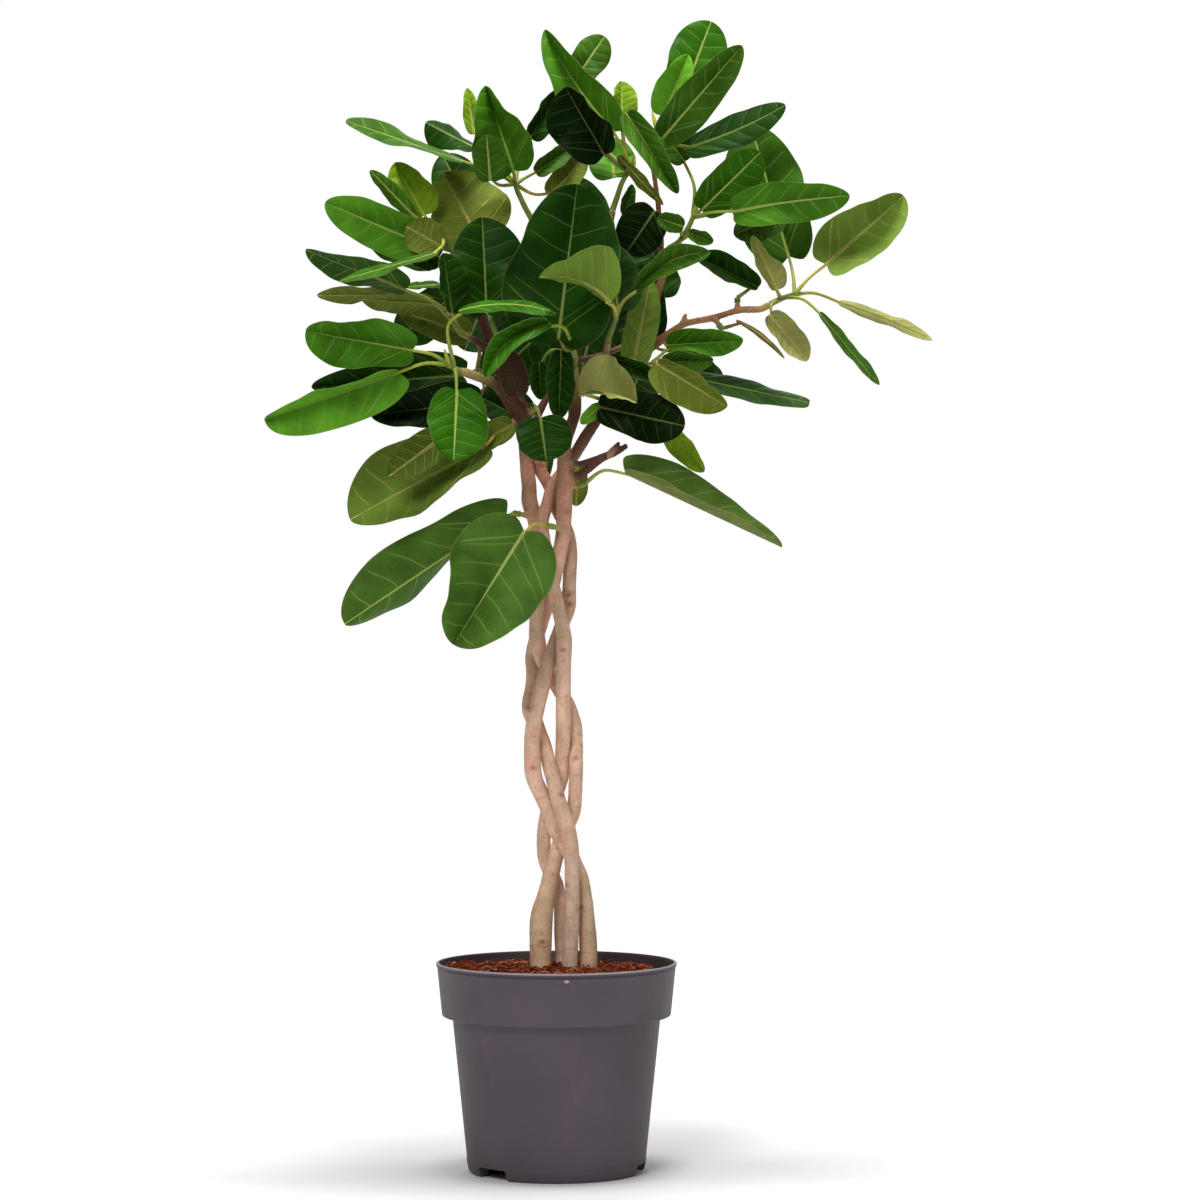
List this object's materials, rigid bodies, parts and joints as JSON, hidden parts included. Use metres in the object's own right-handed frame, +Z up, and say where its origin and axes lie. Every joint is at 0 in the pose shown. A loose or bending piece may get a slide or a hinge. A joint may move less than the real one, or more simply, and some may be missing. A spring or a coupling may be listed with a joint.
{
  "type": "potted bengal fig",
  "caption": "Bengal fig with an open braided trunk of slender stems and a loose crown of broad oval leaves, standing in a dark nursery pot filled with coco soil.",
  "frame": {"origin": "centre of the flat pad under the pot, on the surface that it stands on", "axes": "+Z up along the trunk, -Y towards the front of the plant, +X to the right as seen from the front"},
  "size_m": [0.5742, 0.3929, 1.0107],
  "materials": {
    "moulded_plastic": "satin",
    "coco_soil": "rough fibre",
    "bark": "matt",
    "mature_leaf": "semi-gloss",
    "fresh_leaf": "semi-gloss",
    "dry_leaf": "matt"
  },
  "bodies": {
    "root": {"pot": "moulded_plastic", "soil": "coco_soil", "trunk_1": "bark", "trunk_2": "bark", "trunk_3": "bark", "trunk_4": "bark", "shoot_upper_left": "mature_leaf", "shoot_top": "mature_leaf", "shoot_top_right": "mature_leaf", "shoot_right": "fresh_leaf", "shoot_inner_right": "mature_leaf", "shoot_far_right": "fresh_leaf", "shoot_centre": "mature_leaf", "shoot_front": "mature_leaf", "shoot_left_dark": "mature_leaf", "shoot_left": "fresh_leaf", "shoot_left_mid": "mature_leaf", "shoot_low_left": "fresh_leaf", "shoot_low_back": "mature_leaf", "shoot_underside": "mature_leaf", "leaf_low_left": "mature_leaf", "leaf_low_front": "mature_leaf", "leaf_low_right": "mature_leaf", "shoot_mid_right": "mature_leaf", "shoot_lower_right": "mature_leaf", "shoot_mid_front": "mature_leaf", "leaf_dry": "dry_leaf", "leaf_arch": "mature_leaf", "shoot_middle": "mature_leaf", "leaf_behind_trunk": "mature_leaf", "shoot_back_centre": "mature_leaf", "shoot_back_left": "mature_leaf", "shoot_back_right": "mature_leaf"}
  },
  "joints": []
}
